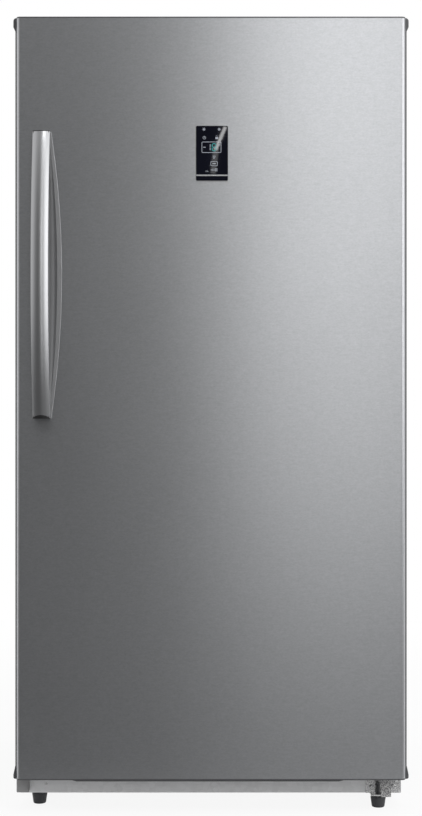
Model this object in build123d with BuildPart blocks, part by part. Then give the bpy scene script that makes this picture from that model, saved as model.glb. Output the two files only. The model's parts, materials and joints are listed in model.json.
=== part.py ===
from build123d import *
from math import asin, cos, degrees, radians, sin, sqrt
import os

# Upright freezer. Millimetres; +X to the viewer's right, +Y to the back, +Z up.
# The origin is the middle of the whole object's base, on the floor.

os.makedirs("parts", exist_ok=True)

# ------------------------------------------------------------------ driving sizes
# Door
skin_width = 825.0           # steel face, edge to edge
door_height = 1616.6         # lower end cap to upper end cap
door_floor_gap = 72.0        # floor to the door's lower end cap
door_depth = 62.0            # steel face to inner panel
skin_corner = 9.0            # radius of the face's folded side edges
skin_return = 17.5           # depth of the folded sides
side_trim = 3.5              # plastic side trims past the steel edges
trim_lap = 5.0               # trims' lap over the folded sides
trim_bevel = 1.2
cap_ear = 4.0                # end caps' ears past the side trims
cap_edge = 3.0               # end caps showing above and below the face
cap_skirt = 28.0             # height of the ears
knee_top = 19.6              # height where an ear starts to taper
knee_low = 9.0
knee_round_top = 7.0         # ears' corner radius
knee_round_low = 4.0
cap_setback = 11.5           # ears behind the door face
ridge_drop = 3.0             # ridge under the lower end cap
ridge_left = 128.0           # ridge's ends, from the door's left and right edges
ridge_right = 141.0
ridge_ramp = 12.0            # its sloped ends
ridge_setback = 2.0
ridge_deep = 18.0
dike_reach = 16.0            # inner panel's ridge past the cabinet's front
dike_width = 22.0
# Cabinet
cabinet_depth = 608.0
cabinet_drop = 8.6           # cabinet's top below the door's top
cabinet_inset = 0.5          # cabinet's sides inside the door face's edges
wall = 60.0                  # insulated wall, steel to liner
floor_wall = 64.0            # door's lower edge to the compartment's floor
gasket_gap = 14.0            # inner door panel to cabinet front
sheet = 1.2                  # steel sheet
liner_wall = 2.0             # plastic liners
liner_corner = 20.0
liner_edge = 12.0
base_height = 25.5           # floor to the base's underside
bay_depth = 233.0            # compressor bay
bay_top = 332.0
standoff = 15.0              # rear spacers
# Gasket
gasket_width = 20.0
gasket_inset = 16.0          # liner opening to the gasket
# Handle
handle_reach = 58.0          # door face to the middle of the bar's front
handle_length = 606.0
handle_low = 765.6           # door's lower edge to the bar's lower end
handle_from_edge = 55.25     # door face's left edge to the bar's middle
bar_width = 36.5
bar_thick = 12.0
bar_side = 5.0               # flat height of the bar's long edges
bar_round = 1.4              # bar's front edges
bar_chamfer = 0.7            # bar's back edges
bar_end_reach = 24.0         # bar's front from the door face, at its ends
post_height = 34.0
post_round = 3.0
cap_plate = 1.5              # plastic plate on the bar's cut ends
end_slope_low = 0.68         # rise of the lower end's cut, per reach in front of the bar's sides
end_slope_top = 0.1
post_inset = 1.5             # posts inside the bar's width
post_lap = 8.0               # posts' reach into the bar's place
# Grip cup
cup_from_handle = 13.25      # cup's middle right of the bar's middle
cup_half_height = 270.0
cup_axis = 6.0               # hollow's turning axis, in front of the door face
cup_depth = 13.4             # hollow's depth below the door face
cup_wall = 2.0
cup_rim = 10.0
cup_rim_end = 6.0            # half-width of the rim at its ends
cup_rim_high = 1.2
# Control panel
panel_width = 70.0
panel_height = 118.5
panel_from_left = 414.5      # door face's left edge to the panel's middle
panel_low = 1327.0           # door's lower edge to the panel's middle
panel_corner = 4.2           # housing's corner radius
panel_rim = 1.2
panel_proud = 0.8
panel_glass = 3.1
panel_deep = 20.0
glass_seat = 4.0             # ledge under the glass's edges
panel_floor = 3.0            # housing's back wall
# Hinges
pin_from_edge = 22.5         # door face's right edge to the hinge pins
pin_setback = 30.0           # pins behind the door face
pin_radius = 5.0
pin_fit = 0.08
pin_short = 3.0              # pins' ends inside the bushes' length
bush_radius = 9.0
bush_flange = 12.0
bush_length = 18.0
arm_thick = 3.0
lower_arm_gap = 6.0          # lower arm's top to the door
upper_arm_gap = 1.4
plate_thick = 2.5
plate_width = 74.0           # lower hinge plate on the rail
plate_high = 34.5
# Feet and rollers
foot_radius = 16.3
foot_foot = 13.8             # foot's radius on the floor
foot_inset_left = 38.5       # cabinet's side to the left foot's middle
foot_inset_right = 51.0
foot_setback_left = 16.5     # behind the cabinet's front
foot_forward_right = 13.5    # in front of the cabinet's front
stem_radius = 4.0
roller_radius = 18.0
roller_width = 20.0
roller_inset = 42.0          # cabinet's side to the roller's middle
roller_from_back = 30.0
axle_radius = 4.0
# Interior
shelf_low = 735.0            # top of the lowest shelf
shelf_count = 3
shelf_gap = 3.0              # shelf frame to the liner's sides
shelf_deep = 353.0
shelf_thick = 18.0
glass_thick = 4.0
frame_width = 12.0
glass_ledge = 6.0
bin_reach = 108.5            # door bins' depth
bin_high = 96.0
bin_rise = 25.0              # bins' floors above the shelves
bin_wall = 2.5
bin_corner = 22.0            # bins' outer corners
bin_heel = 3.0
bin_edge = 2.0
lug = 7.0                    # lugs under the bins
lug_high = 12.0
lug_setback = 8.0            # lugs' ends inside the ridge's crest
dike_round = 6.0
drawer_setback = 60.0        # drawer fronts behind the cabinet's front
drawer_inset = 37.0          # liner's side to the drawer
drawer_wall = 3.0
drawer_rise = 8.0            # upper drawer above the compressor bay's step
drawer_clear = 0.3
chamber_deep = 72.0          # evaporator chamber behind its cover
# Named clearances
fit = 0.1                    # fixed fits
seat = 0.3                   # seats and running gaps of loose pieces
bin_gap = 15.0               # door bins to shelves

# ------------------------------------------------------------------ derived places
depth_total = handle_reach + door_depth + gasket_gap + cabinet_depth + standoff
y_face = -depth_total / 2 + handle_reach
y_door_back = y_face + door_depth
y_cab = y_door_back + gasket_gap
y_back = y_cab + cabinet_depth
z_door = door_floor_gap
z_door_top = z_door + door_height
z_skin = z_door + cap_edge
z_skin_top = z_door_top - cap_edge
z_cab_top = z_door_top - cabinet_drop
z_floor = z_door + floor_wall
half_skin = skin_width / 2
half_core = half_skin - sheet
half_trim = half_skin + side_trim
half_ear = half_trim + cap_ear
half_cab = half_skin - cabinet_inset
half_in = half_cab - sheet
half_liner = half_cab - wall
z_ceiling = z_cab_top - wall
y_bay = y_back - bay_depth
y_chamber = y_back - wall - sheet
y_cover = y_chamber - chamber_deep
z_step = bay_top + wall
drawer_parting = z_step + drawer_rise
y_step = y_bay - wall
half_gasket = half_liner + gasket_inset
z_gasket = z_floor - gasket_inset
z_gasket_top = z_ceiling + gasket_inset
y_hinge = y_face + pin_setback
x_hinge = half_skin - pin_from_edge
x_handle = -half_skin + handle_from_edge
z_handle = z_door + handle_low
z_handle_mid = z_handle + handle_length / 2
x_cup = x_handle + cup_from_handle
half_dike = half_liner - gasket_inset + 4.0
y_dike = y_cab + dike_reach
shelf_step = (z_ceiling - shelf_low) / shelf_count
y_shelf = y_door_back + bin_reach + bin_gap
half_drawer = half_liner - drawer_inset


def block(low, high, mode=Mode.ADD):
    """Box between two opposite corners."""
    size = Vector(*high) - Vector(*low)
    with Locations((Vector(*low) + Vector(*high)) / 2):
        Box(size.X, size.Y, size.Z, mode=mode)


def keep(part, name):
    """Label a finished piece and write it."""
    part.label = name
    export_step(part, f"parts/{name}.step")


def slab(half, front, back, low, high, radius):
    """Upright slab across the door whose two front edges are rounded."""
    with BuildPart() as form:
        block((-half, front, low), (half, back, high))
        upright = form.edges().filter_by(Axis.Z).group_by(Axis.Y)[0]
        fillet(upright, radius)
    return form.part


# ------------------------------------------------------------------ pipes' and screws' places
cover_thick = 2.5
evaporator_length = 440.0
evaporator_y = (y_cover + cover_thick + y_chamber) / 2
drain_y = y_chamber - 14.0
drain_radius = 7.5
suction_x = evaporator_length / 2 + 20.0
suction_y = evaporator_y
pipe_radius = 4.0

with BuildPart() as service_bores:
    with Locations((0, drain_y, bay_top)):
        Cylinder(drain_radius + fit, 2 * wall + 60)
    with Locations((suction_x, suction_y, bay_top)):
        Cylinder(pipe_radius + fit, 2 * wall + 60)
service_holes = service_bores.part

plate_right = half_cab - 2.5
plate_left = plate_right - plate_width
y_plate = y_cab - plate_thick
screw_radius = 2.5
small_screw = 1.6
screw_length = 8.0
screw_head = 5.2
rail_screw = (-half_cab + 54.5, base_height + 19.0)
plate_screws = [(plate_left + 12.5, base_height + 12.5), (plate_right - 13.5, base_height + 14.5)]
upper_screws = [(x_hinge - 37, y_cab + 30), (x_hinge - 37, y_cab + 70), (x_hinge + 2, y_cab + 50)]

with BuildPart() as screw_bores:
    with Locations(*[Location((x, y_plate, z), (90, 0, 0)) for x, z in plate_screws]):
        Cylinder(screw_radius + fit, 3 * screw_length)
    with Locations(Location((rail_screw[0], y_cab, rail_screw[1]), (90, 0, 0))):
        Cylinder(small_screw + fit, 3 * screw_length)
    with Locations(*[(x, y, z_cab_top) for x, y in upper_screws]):
        Cylinder(screw_radius + fit, 3 * screw_length)
screw_holes = screw_bores.part

# ------------------------------------------------------------------ cabinet
def cavity(grow=0.0):
    """The cold compartment with its step over the compressor bay, grown all round."""
    front, back = y_cab - 1.0, y_chamber + grow
    low, high = z_floor - grow, z_ceiling + grow
    with BuildPart() as form:
        with BuildSketch(Plane.YZ):
            with BuildLine():
                Polyline((front, low), (front, high), (back, high), (back, z_step - grow),
                         (y_step + grow, z_step - grow), (y_step + grow, low), close=True)
            make_face()
            deep = vertices().sort_by(Axis.X)[2:]
            inner = deep.sort_by(lambda v: (v.X - y_step) ** 2 + (v.Y - z_step) ** 2)[0]
            fillet([v for v in deep if v != inner], liner_corner + grow)
            fillet(vertices().sort_by(lambda v: (v.X - y_step) ** 2 + (v.Y - z_step) ** 2)[0],
                   liner_corner - grow)
        extrude(amount=half_liner + grow, both=True)
        sides = form.faces().filter_by(Axis.X).edges()
        fillet([e for e in sides if abs(e.center().Y - front) > 1], liner_edge + grow)
    return form.part


liner_outside = cavity(liner_wall)

with BuildPart() as cabinet_shell:
    block((-half_cab, y_cab, base_height), (half_cab, y_back, z_cab_top))
    block((-half_in, y_cab - 1, base_height - 1), (half_in, y_back + 1, z_cab_top - sheet),
          Mode.SUBTRACT)
    # front flange that the gasket seats on, down to the front rail
    block((-half_cab, y_cab, z_gasket), (half_cab, y_cab + sheet, z_cab_top))
    block((-half_gasket + 2, y_cab - 1, z_gasket - 1),
          (half_gasket - 2, y_cab + sheet + 1, z_gasket_top - 2), Mode.SUBTRACT)
    add(screw_holes, mode=Mode.SUBTRACT)
keep(cabinet_shell.part, "cabinet_shell")

with BuildPart() as back_panel:
    with BuildSketch(Plane.YZ):
        with BuildLine():
            Polyline((y_back, z_cab_top - sheet), (y_back, bay_top), (y_bay, bay_top), (y_bay, z_door),
                     (y_cab + sheet, z_door), (y_cab + sheet, z_door + sheet),
                     (y_bay - sheet, z_door + sheet), (y_bay - sheet, bay_top + sheet),
                     (y_back - sheet, bay_top + sheet), (y_back - sheet, z_cab_top - sheet), close=True)
        make_face()
    extrude(amount=half_in, both=True)
    add(service_holes, mode=Mode.SUBTRACT)
keep(back_panel.part, "back_panel")

with BuildPart() as cabinet_foam:
    with BuildSketch(Plane.YZ):
        with BuildLine():
            Polyline((y_cab + sheet, z_door + sheet), (y_cab + sheet, z_cab_top - sheet),
                     (y_back - sheet, z_cab_top - sheet), (y_back - sheet, bay_top + sheet),
                     (y_bay - sheet, bay_top + sheet), (y_bay - sheet, z_door + sheet), close=True)
        make_face()
    extrude(amount=half_in, both=True)
    add(liner_outside, mode=Mode.SUBTRACT)
    add(service_holes, mode=Mode.SUBTRACT)
    add(screw_holes, mode=Mode.SUBTRACT)
keep(cabinet_foam.part, "cabinet_foam")

rib_deep = 10.0
rib_high = 8.0
shelf_tops = [shelf_low + i * shelf_step for i in range(shelf_count)]
guide_high = 24.0

with BuildPart() as liner_ribs:
    for side in (-1, 1):
        wall_x = side * (half_liner + 1)
        for top in shelf_tops:
            rib_x = side * (half_liner - rib_deep)
            block((min(rib_x, wall_x), y_shelf + 8, top - shelf_thick - rib_high),
                  (max(rib_x, wall_x), y_cover - 12, top - shelf_thick))
        # side guides of both drawers and the upper one's ledge
        guide_x = side * (half_drawer + seat)
        ledge_x = side * (half_drawer - 14)
        block((min(guide_x, wall_x), y_cab + drawer_setback, z_floor - 1),
              (max(guide_x, wall_x), y_step - 20, z_floor + guide_high))
        block((min(ledge_x, wall_x), y_cab + drawer_setback, z_step - 10),
              (max(ledge_x, wall_x), y_step + 1, drawer_parting))
        block((min(ledge_x, wall_x), y_step, z_step - 1),
              (max(ledge_x, wall_x), y_cover - 12, drawer_parting))
        block((min(guide_x, wall_x), y_cab + drawer_setback, drawer_parting),
              (max(guide_x, wall_x), y_cover - 12, drawer_parting + guide_high))
    add(liner_outside, mode=Mode.INTERSECT)

with BuildPart() as inner_liner:
    add(liner_outside)
    # flange inside the shell's front flange
    block((-half_gasket + 2, y_cab, z_gasket), (half_gasket - 2, y_cab + sheet, z_gasket_top - 2))
    block((-half_gasket - 9, y_cab - 9, z_floor - 99), (half_gasket + 9, y_cab, z_ceiling + 99),
          Mode.SUBTRACT)
    add(cavity(), mode=Mode.SUBTRACT)
    add(liner_ribs.part)
    add(service_holes, mode=Mode.SUBTRACT)
keep(inner_liner.part, "inner_liner")

rail_lip = 38.0
block_width = 26.5
block_front = 18.0
block_rise = 5.0
block_back = 20.0
block_drop = 8.0
block_round = 4.0
foot_left_at = (-half_cab + foot_inset_left, y_cab + foot_setback_left)
foot_right_at = (half_cab - foot_inset_right, y_cab - foot_forward_right)

with BuildPart() as front_rail:
    block((-half_in, y_cab, base_height), (half_in, y_cab + sheet, z_gasket))
    block((-half_in, y_cab, base_height), (half_in, y_cab + rail_lip, base_height + sheet))
    with Locations((*foot_left_at, base_height)):
        Cylinder(stem_radius + seat, 20, mode=Mode.SUBTRACT)
    add(screw_holes, mode=Mode.SUBTRACT)
keep(front_rail.part, "front_rail")

with BuildPart() as rail_corner_block:
    block((-half_ear, y_cab - block_front, base_height + block_rise),
          (-half_ear + block_width, y_cab + block_back, z_door - block_drop))
    block((-half_cab, y_cab, 0), (half_cab, y_back, z_door), Mode.SUBTRACT)
    outer = rail_corner_block.edges().filter_by(Axis.Z).group_by(Axis.Y)[0]
    fillet(outer, block_round)
keep(rail_corner_block.part, "rail_corner_block")

# ------------------------------------------------------------------ base and rollers
rail_height = 34.0
rail_flange = 26.0
cheek = 1.5
roller_x = half_cab - roller_inset
roller_y = y_back - roller_from_back
tray_z = 40.0


def side_rail(side):
    """Channel along the cabinet's lower side edge, open towards the middle."""
    outer, inner = side * half_in, side * (half_in - rail_flange)
    web = side * (half_in - cheek)
    with BuildPart() as form:
        block((min(outer, inner), y_cab + rail_lip + seat, base_height),
              (max(outer, inner), y_back - sheet - seat, base_height + rail_height))
        block((min(web, inner - side), y_cab, base_height + cheek),
              (max(web, inner - side), y_back, base_height + rail_height - cheek), Mode.SUBTRACT)
    return form.part


def roller_bracket(side):
    """Inverted U that holds a roller's axle, against the side rail's lower flange."""
    outer = side * (half_in - rail_flange)
    middle = side * roller_x
    inner = 2 * middle - outer
    with BuildPart() as form:
        block((min(outer, inner), roller_y - 16, 9), (max(outer, inner), roller_y + 16, tray_z))
        gap = roller_width / 2 + 1.0
        block((middle - gap, roller_y - 17, 8), (middle + gap, roller_y + 17, tray_z - cheek),
              Mode.SUBTRACT)
        with Locations(Location((middle, roller_y, roller_radius), (0, 90, 0))):
            Cylinder(axle_radius, abs(outer - inner) - 2)
    return form.part


with BuildPart() as base_frame:
    for side in (-1, 1):
        add(side_rail(side))
        add(roller_bracket(side))
keep(base_frame.part, "base_frame")

for side, name in ((-1, "rear_roller_left"), (1, "rear_roller_right")):
    with BuildPart() as rear_roller:
        with BuildSketch(Plane.YZ.offset(side * roller_x - roller_width / 2)):
            with Locations((roller_y, roller_radius)):
                Circle(roller_radius)
                Circle(axle_radius + pin_fit, mode=Mode.SUBTRACT)
        extrude(amount=roller_width)
        rims = rear_roller.edges().filter_by(GeomType.CIRCLE).filter_by(
            lambda e: e.radius > roller_radius - 1)
        fillet(rims, 2)
    keep(rear_roller.part, name)

tray_half = half_in - rail_flange - 2.0
tray_rim = 12.0
with BuildPart() as compressor_tray:
    block((-tray_half, y_bay + 2, tray_z), (tray_half, y_back - 8, tray_z + cheek))
    block((-tray_half, y_bay + 2, tray_z), (tray_half, y_bay + 2 + cheek, tray_z + tray_rim))
    block((-tray_half, y_back - 8 - cheek, tray_z), (tray_half, y_back - 8, tray_z + tray_rim))
keep(compressor_tray.part, "compressor_tray")


def foot(at, name):
    """Levelling foot: ribbed tapered pad on a threaded stem."""
    top = base_height - seat
    with BuildPart() as form:
        with BuildSketch(Plane.XZ):
            with BuildLine():
                Polyline((0, 0), (foot_foot - 1, 0), (foot_foot, 1.5), (foot_radius, top - 6.5),
                         (foot_radius, top - 4), (foot_radius - 2.5, top), (stem_radius, top),
                         (stem_radius, top + 26), (0, top + 26), close=True)
            make_face()
        revolve(axis=Axis.Z)
        with PolarLocations(foot_radius + 0.6, 18):
            Cylinder(1.3, 3 * top, mode=Mode.SUBTRACT)
    keep(Pos(*at, 0) * form.part, name)


foot(foot_left_at, "foot_left")
foot(foot_right_at, "foot_right")

# ------------------------------------------------------------------ lower hinge
arm_top = z_door - lower_arm_gap
tab_x = x_hinge - 16.0
tab_width = 21.0
tab_low = base_height + 4.0
tab_front = y_hinge - 4.0
arm_half = 9.0
riser_left = x_hinge - 42.0
flange_half = 17.0
flange_reach = 15.0


def arm(low, half, rear):
    """Flat hinge arm from the cabinet to a rounded end round the pin."""
    with BuildPart() as form:
        with BuildSketch(Plane.XY.offset(low)):
            with Locations((x_hinge, y_hinge)):
                Circle(half)
            with Locations((x_hinge - half, y_hinge)):
                Rectangle(2 * half, rear - y_hinge, align=(Align.MIN, Align.MIN))
        extrude(amount=arm_thick)
    return form.part


with BuildPart() as lower_hinge_bracket:
    block((plate_left, y_plate, base_height), (plate_right, y_cab, base_height + plate_high))
    block((riser_left, y_plate, base_height + plate_high - 1), (x_hinge + arm_half, y_cab, arm_top))
    # horizontal arm and its pin
    add(arm(arm_top - arm_thick, arm_half, y_cab))
    block((riser_left, y_hinge + 4, arm_top - arm_thick), (x_hinge, y_cab, arm_top))
    block((tab_x - tab_width / 2, tab_front, arm_top - arm_thick),
          (tab_x + tab_width / 2, y_hinge + 5, arm_top))
    with Locations((x_hinge, y_hinge, arm_top - arm_thick)):
        Cylinder(pin_radius, arm_thick + lower_arm_gap + bush_length - pin_short,
                 align=(Align.CENTER, Align.CENTER, Align.MIN))
    # tab folded down from the arm, and the flange that carries the right foot
    block((tab_x - tab_width / 2, tab_front, tab_low),
          (tab_x + tab_width / 2, tab_front + arm_thick, arm_top))
    block((foot_right_at[0] - flange_half, foot_right_at[1] - flange_reach, base_height),
          (foot_right_at[0] + flange_half, y_cab, base_height + arm_thick))
    with Locations((*foot_right_at, base_height)):
        Cylinder(stem_radius + seat, 20, mode=Mode.SUBTRACT)
    add(screw_holes, mode=Mode.SUBTRACT)
keep(lower_hinge_bracket.part, "lower_hinge_bracket")

# ------------------------------------------------------------------ upper hinge
step_y = y_cab + 8.0
upper_low = z_door_top + upper_arm_gap
upper_plate_left = x_hinge - 45.0
upper_plate_right = x_hinge + 15.0
upper_plate_back = y_cab + 86.0
riser_lap = 10.0
riser_low, riser_high = x_hinge - 30.0, x_hinge + riser_lap
with BuildPart() as upper_hinge_bracket:
    block((upper_plate_left, step_y, z_cab_top),
          (upper_plate_right, upper_plate_back, z_cab_top + arm_thick))
    block((riser_low, step_y, z_cab_top), (riser_high, step_y + arm_thick, upper_low + arm_thick))
    block((riser_low, y_cab - riser_lap, upper_low),
          (riser_high, step_y + arm_thick, upper_low + arm_thick))
    add(arm(upper_low, riser_lap, y_cab))
    with Locations((x_hinge, y_hinge, upper_low + arm_thick)):
        Cylinder(pin_radius, arm_thick + upper_arm_gap + bush_length - pin_short,
                 align=(Align.CENTER, Align.CENTER, Align.MAX))
    add(screw_holes, mode=Mode.SUBTRACT)
keep(upper_hinge_bracket.part, "upper_hinge_bracket")

cover_wall = 2.0
cover_low = z_cab_top + fit
cover_high = z_door_top + 10.4
cover_front = y_face + 45.0
cover_margin = 12.0
cover_left, cover_right = upper_plate_left - cover_margin, half_cab - 1.0
cover_back = upper_plate_back + cover_margin
with BuildPart() as upper_hinge_cover:
    block((cover_left, cover_front, cover_low), (cover_right, cover_back, cover_high))
    fillet(upper_hinge_cover.edges().filter_by(Axis.Z), 6)
    fillet(upper_hinge_cover.faces().sort_by(Axis.Z)[-1].edges(), 3)
    block((cover_left + cover_wall, cover_front + cover_wall, 0),
          (cover_right - cover_wall, cover_back - cover_wall, cover_high - cover_wall),
          Mode.SUBTRACT)
    # open under its nose and round the arm, above the door
    block((0, cover_front - 1, 0), (half_cab, y_cab, upper_low + arm_thick + seat), Mode.SUBTRACT)
keep(upper_hinge_cover.part, "upper_hinge_cover")


def screw(radius, head, length, across=0):
    """Pan-head screw along +Z, its head's underside at the origin, shank downwards."""
    with BuildPart() as form:
        Cylinder(radius, length, align=(Align.CENTER, Align.CENTER, Align.MAX))
        Cylinder(head, 0.75 * head, align=(Align.CENTER, Align.CENTER, Align.MIN))
        top = form.faces().sort_by(Axis.Z)[-1]
        fillet(top.edges(), 0.3 * head)
        if across:
            with BuildSketch(Plane.XY.offset(0.75 * head)):
                RegularPolygon(across / 2, 6)
            extrude(amount=-0.4 * head, mode=Mode.SUBTRACT)
    return form.part


to_front = Rotation(90, 0, 0)
screws = []
for x, z in plate_screws:
    screws.append(Pos(x, y_plate, z) * to_front * screw(screw_radius, screw_head, screw_length, 4.5))
screws.append(Pos(rail_screw[0], y_cab, rail_screw[1]) * to_front
              * screw(small_screw, 2.6, screw_length))
for x, y in upper_screws:
    screws.append(Pos(x, y, z_cab_top + arm_thick) * screw(screw_radius, screw_head, screw_length, 4.5))
keep(Compound(children=screws), "cabinet_screws")

# ------------------------------------------------------------------ compressor bay
compressor_at = (-0.47 * half_cab, y_bay + 0.5 * bay_depth)
compressor_radius = 78.0
mount_high = 16.0
compressor_low = tray_z + cheek + mount_high
compressor_plate = 3.0
compressor_high = 160.0
shoulder = compressor_high - 60.0
dome_radius = 100.0
seam_rise = 86.0
foot_span_x = 150.0
foot_span_y = 120.0
mount_radius = 12.0
ear_radius = 15.0            # base plate's ears round the mounts

with BuildPart() as compressor_mounts:
    with Locations((*compressor_at, tray_z + cheek)):
        with GridLocations(foot_span_x, foot_span_y, 2, 2):
            Cylinder(mount_radius, mount_high, align=(Align.CENTER, Align.CENTER, Align.MIN))
    fillet(compressor_mounts.edges().filter_by(GeomType.CIRCLE), 3)
keep(compressor_mounts.part, "compressor_mounts")

evaporator_low = z_step + 75.0
stub_radius = 6.0
stub_top = compressor_low + compressor_plate + compressor_high + 4.0
suction_stub = (compressor_at[0] + 20, compressor_at[1] + 10)
discharge_stub = (compressor_at[0] - 25, compressor_at[1] - 40)
compressor_plane = Plane(origin=(*compressor_at, compressor_low + compressor_plate),
                         x_dir=(1, 0, 0), z_dir=(0, -1, 0))

with BuildPart() as compressor:
    # base plate with ears on the mounts
    with BuildSketch(Plane.XY.offset(compressor_low)):
        with Locations(compressor_at):
            RectangleRounded(foot_span_x + 2 * ear_radius, foot_span_y + 2 * ear_radius, ear_radius - 1)
    extrude(amount=compressor_plate)
    # domed shell, its welded seam at half height
    with BuildSketch(compressor_plane):
        with BuildLine():
            Line((0, 0), (compressor_radius - 22, 0))
            RadiusArc((compressor_radius - 22, 0), (compressor_radius, 26), -26)
            Line((compressor_radius, 26), (compressor_radius, shoulder))
            RadiusArc((compressor_radius, shoulder), (0, compressor_high), -dome_radius)
            Line((0, compressor_high), (0, 0))
        make_face()
    revolve(axis=Axis((*compressor_at, 0), (0, 0, 1)))
    with Locations((*compressor_at, compressor_low + seam_rise)):
        Cylinder(compressor_radius + 3, 5)
    with Locations((*suction_stub, stub_top), (*discharge_stub, stub_top)):
        Cylinder(stub_radius, 60, align=(Align.CENTER, Align.CENTER, Align.MAX))
keep(compressor.part, "compressor")

terminal_front = compressor_at[0] + compressor_radius - 2
with BuildPart() as terminal_cover:
    block((terminal_front, compressor_at[1] - 30, compressor_low + 20),
          (terminal_front + 34, compressor_at[1] + 30, compressor_low + 80))
    fillet(terminal_cover.edges().filter_by(Axis.X), 8)
    add(compressor.part, mode=Mode.SUBTRACT)
keep(terminal_cover.part, "terminal_cover")

pan_left = -30.0
pan_right = 228.0
pan_low = tray_z + cheek
pan_high = pan_low + 34.0
pan_wall = 2.0
with BuildPart() as evaporation_pan:
    block((pan_left, y_bay + 12, pan_low), (pan_right, y_back - 18, pan_high))
    fillet(evaporation_pan.edges().filter_by(Axis.Z), 12)
    fillet(evaporation_pan.faces().sort_by(Axis.Z)[0].edges(), 4)
    offset(amount=-pan_wall, openings=evaporation_pan.faces().sort_by(Axis.Z)[-1])
keep(evaporation_pan.part, "evaporation_pan")

with BuildPart() as drain_tube:
    with BuildSketch(Plane.XY.offset(pan_high + 6)):
        with Locations((0, drain_y)):
            Circle(drain_radius)
            Circle(drain_radius - 1.5, mode=Mode.SUBTRACT)
    extrude(amount=z_step + 4 - pan_high - 6)
keep(drain_tube.part, "drain_tube")


tube_radius = 4.0


def serpentine(plane, passes, pitch, length, radius):
    """Tube that runs to and fro along the plane's x, each pass one pitch above the last."""
    with BuildLine(plane) as route:
        for i in range(passes):
            left, right = (-length / 2, i * pitch), (length / 2, i * pitch)
            start, end = (left, right) if i % 2 == 0 else (right, left)
            Line(start, end)
            if i < passes - 1:
                rise = (end[0] + (pitch / 2 if i % 2 == 0 else -pitch / 2), (i + 0.5) * pitch)
                ThreePointArc(end, rise, (end[0], (i + 1) * pitch))
    with BuildPart() as form:
        with BuildSketch(Plane(origin=route.line @ 0, z_dir=route.line % 0)):
            Circle(radius)
        sweep(path=route.line)
    return form.part


def fins(plane, count, spacing, front, back, high, holes, pitch):
    """Row of thin plates across the plane's x, each with one column of holes for the tube."""
    with BuildPart(plane) as form:
        with Locations((0, 0, (back - front) / 2)):
            with GridLocations(spacing, 1, count, 1):
                Box(1.0, high, front + back)
        with BuildPart(mode=Mode.PRIVATE) as bores:
            with Locations(*[Location((0, (i - (holes - 1) / 2) * pitch, 0), (0, 90, 0))
                             for i in range(holes)]):
                Cylinder(tube_radius + fit, count * spacing + 10)
        add(bores.part, mode=Mode.SUBTRACT)
    return form.part


# Fan between the compressor and the condenser, blowing along X
fan_from_side = 310.8        # fan's middle to the shell's right side
fan_x = half_in - fan_from_side
fan_y = y_bay + bay_depth / 2
fan_z = 180.0
fan_radius = 78.0
shroud_half = 100.0
shroud_front = fan_x + 26.0
shroud_thick = 2.0
hub_radius = 16.0
shaft_radius = 3.0

condenser_low = pan_high + 22.0
condenser_pitch = 32.0
condenser_passes = 7
condenser_length = bay_depth - 90.0
condenser_deep = 46.0
condenser_x = shroud_front + shroud_thick + condenser_deep / 2
condenser_high = condenser_low + (condenser_passes - 1) * condenser_pitch
along_y = Plane(origin=(condenser_x, fan_y, condenser_low), x_dir=(0, 1, 0), z_dir=(1, 0, 0))
fin_plane = Plane(origin=(condenser_x, fan_y, (condenser_low + condenser_high) / 2),
                  x_dir=(0, 1, 0), z_dir=(1, 0, 0))
condenser_fins = fins(fin_plane, 14, 9.5, condenser_deep / 2, condenser_deep / 2,
                      condenser_passes * condenser_pitch, condenser_passes, condenser_pitch)
condenser_tube = serpentine(along_y, condenser_passes, condenser_pitch, condenser_length, tube_radius)
keep(Compound(children=[condenser_tube, *condenser_fins.solids()]), "condenser")


def propeller(axis_plane, radius, hub, thick, blades, bore):
    """Fan wheel with pitched blades, its shaft along the plane's normal."""
    with BuildPart(axis_plane) as form:
        Cylinder(hub, thick)
        with BuildPart(mode=Mode.PRIVATE) as blade:
            with Locations(Location(((hub + radius) / 2 - 1, 0, 0), (35, 0, 0))):
                Box(radius - hub + 2, 0.62 * radius, 2)
            Cylinder(radius, 60, mode=Mode.INTERSECT)
        with PolarLocations(0, blades):
            add(blade.part)
        Cylinder(bore, 60, mode=Mode.SUBTRACT)
    return form.part


fan_plane = Plane(origin=(fan_x, fan_y, fan_z), x_dir=(0, 1, 0), z_dir=(1, 0, 0))
keep(propeller(fan_plane, fan_radius, hub_radius, 22, 5, shaft_radius + pin_fit), "condenser_fan")

with BuildPart() as condenser_fan_shroud:
    with BuildSketch(Plane.YZ.offset(shroud_front)):
        with Locations((fan_y, fan_z)):
            Rectangle(2 * shroud_half, 2 * shroud_half)
            Circle(fan_radius + 3, mode=Mode.SUBTRACT)
            for angle in (0, 90):
                Rectangle(2 * shroud_half, 8, rotation=angle)
            Circle(20)
    extrude(amount=shroud_thick)
    # legs on the tray either side of the pan
    shroud_back = shroud_front + shroud_thick
    block((shroud_front, y_bay + 3 * cheek, pan_low), (shroud_back, y_bay + 11.5, fan_z))
    block((shroud_front, y_back - 17.5, pan_low), (shroud_back, y_back - 8 - 2 * cheek, fan_z))
    block((shroud_front, y_bay + 3 * cheek, pan_high + 2),
          (shroud_back, y_back - 8 - 2 * cheek, pan_high + 14))
keep(condenser_fan_shroud.part, "condenser_fan_shroud")

motor_plane = Plane(origin=(shroud_front, fan_y, fan_z), x_dir=(0, 1, 0), z_dir=(-1, 0, 0))
with BuildPart(motor_plane) as condenser_fan_motor:
    Cylinder(18, 9, align=(Align.CENTER, Align.CENTER, Align.MIN))
    Cylinder(shaft_radius, 42, align=(Align.CENTER, Align.CENTER, Align.MIN))
keep(condenser_fan_motor.part, "condenser_fan_motor")


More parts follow.
